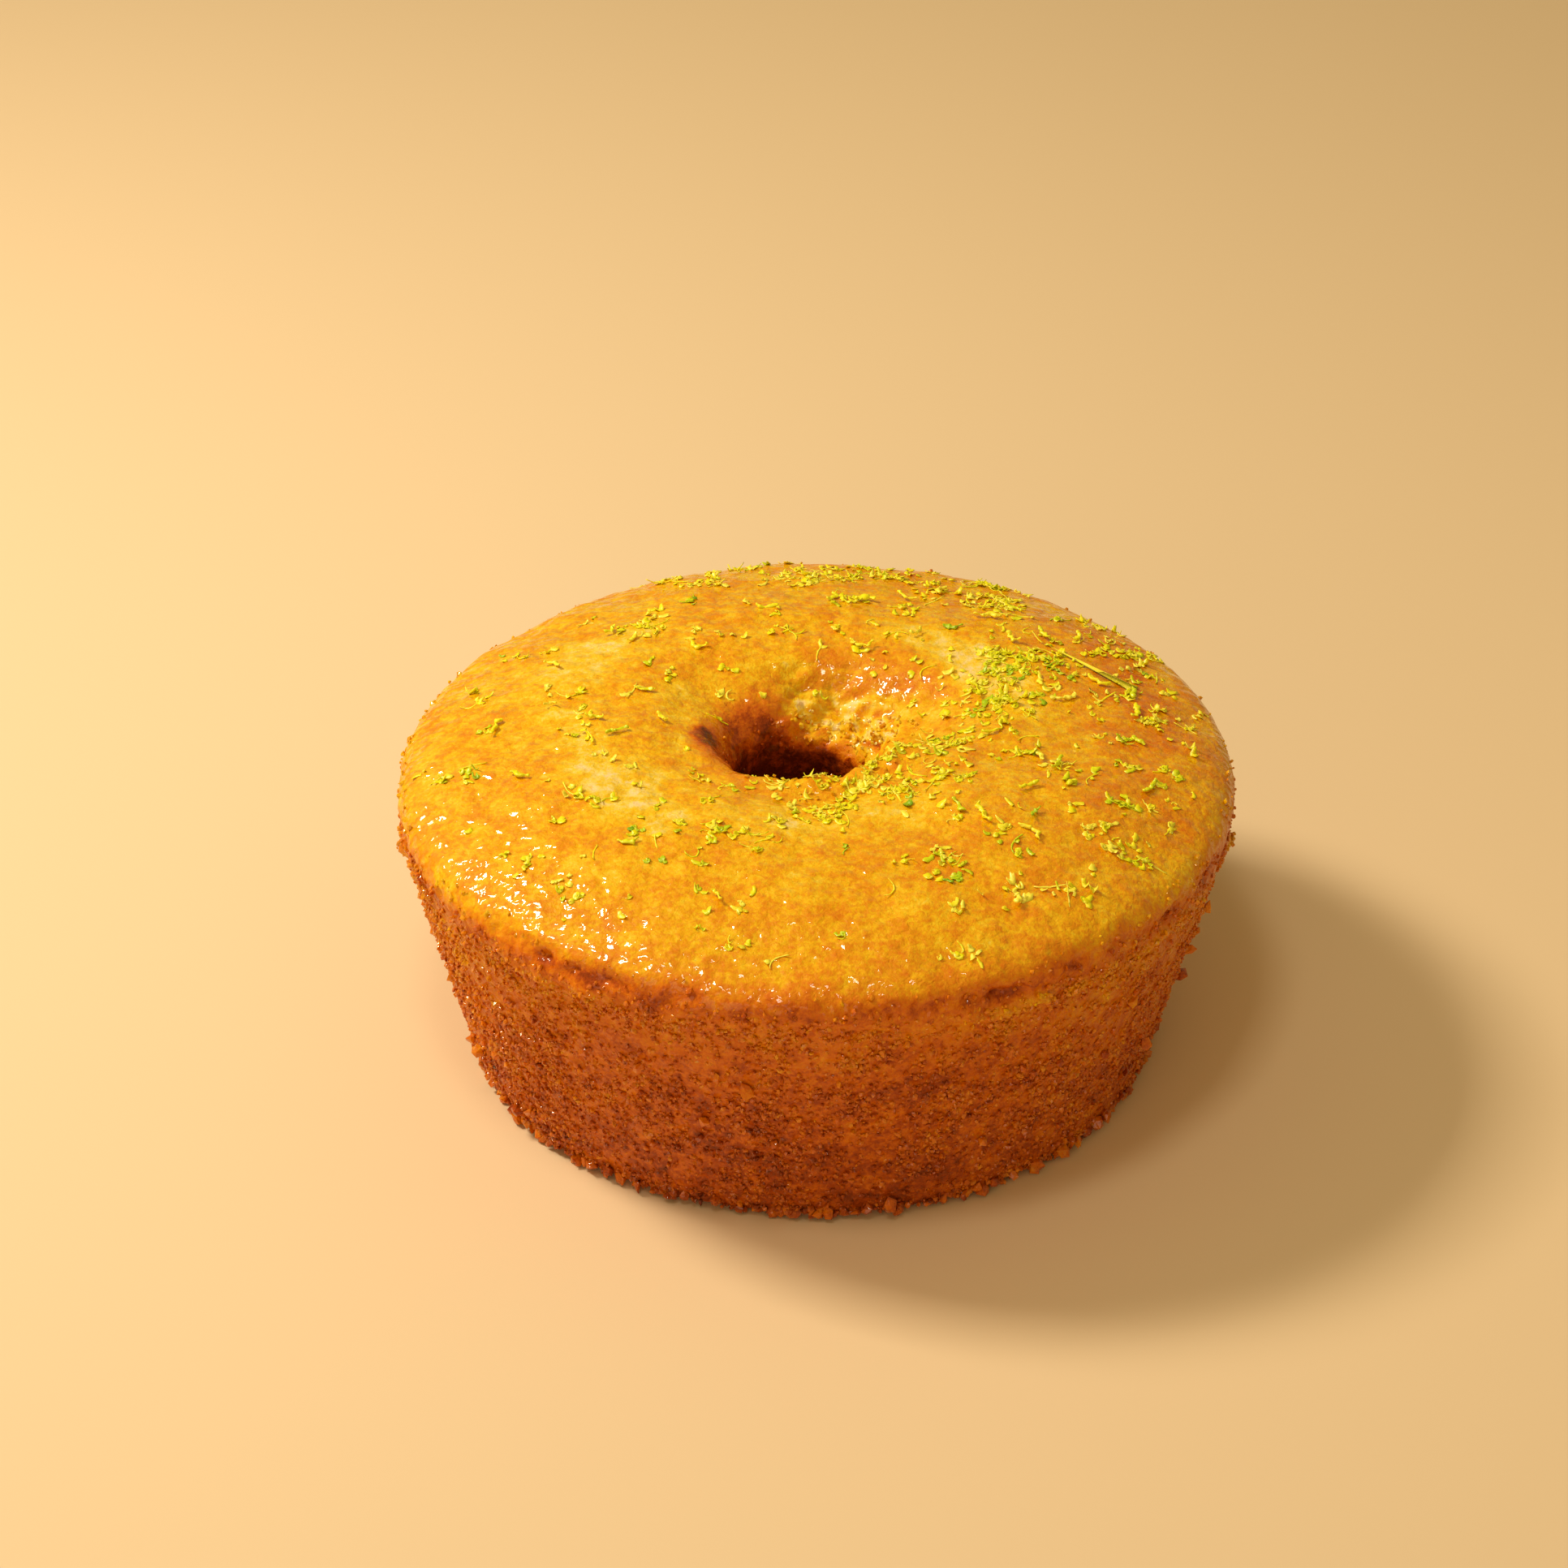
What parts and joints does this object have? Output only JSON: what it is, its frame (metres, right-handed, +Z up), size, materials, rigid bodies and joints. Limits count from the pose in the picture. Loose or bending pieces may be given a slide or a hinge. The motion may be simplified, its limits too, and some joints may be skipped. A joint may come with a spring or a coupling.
{
  "type": "citrus ring cake",
  "caption": "Whole baked ring cake with a domed, syrup-glazed top, tapered crumbly sides and a centre hole, strewn with shreds of grated citrus peel.",
  "frame": {"origin": "centre of the flat base, on the surface the cake stands on", "axes": "+Z up, out of the hole through the domed top; -Y is the front"},
  "size_m": [0.2068, 0.2046, 0.088],
  "materials": {
    "cake_crumb": "satin",
    "citrus_peel": "satin"
  },
  "bodies": {
    "root": {"cake": "cake_crumb", "zest_shred_01": "citrus_peel", "zest_shred_02": "citrus_peel", "zest_shred_03": "citrus_peel", "zest_shred_04": "citrus_peel", "zest_shred_05": "citrus_peel", "zest_shred_06": "citrus_peel", "zest_shred_07": "citrus_peel", "zest_shred_08": "citrus_peel", "zest_shred_09": "citrus_peel", "zest_shred_10": "citrus_peel", "zest_shred_11": "citrus_peel", "zest_shred_12": "citrus_peel", "zest_shred_13": "citrus_peel", "zest_shred_14": "citrus_peel", "zest_shred_15": "citrus_peel", "zest_shred_16": "citrus_peel", "zest_shred_17": "citrus_peel", "zest_shred_18": "citrus_peel", "zest_shred_19": "citrus_peel", "zest_shred_20": "citrus_peel", "zest_shred_21": "citrus_peel", "zest_shred_22": "citrus_peel", "zest_shred_23": "citrus_peel", "zest_shred_24": "citrus_peel", "zest_shred_25": "citrus_peel", "zest_shred_26": "citrus_peel", "zest_shred_27": "citrus_peel", "zest_shred_28": "citrus_peel", "zest_shred_29": "citrus_peel", "zest_shred_30": "citrus_peel", "zest_shred_31": "citrus_peel", "zest_shred_32": "citrus_peel", "zest_shred_33": "citrus_peel", "zest_shred_34": "citrus_peel", "zest_shred_35": "citrus_peel", "zest_shred_36": "citrus_peel", "zest_shred_37": "citrus_peel", "zest_shred_38": "citrus_peel", "zest_shred_39": "citrus_peel", "zest_shred_40": "citrus_peel", "zest_shred_41": "citrus_peel", "zest_shred_42": "citrus_peel", "zest_shred_43": "citrus_peel", "zest_shred_44": "citrus_peel", "zest_shred_45": "citrus_peel", "zest_shred_46": "citrus_peel", "zest_shred_47": "citrus_peel", "zest_shred_48": "citrus_peel"}
  },
  "joints": []
}
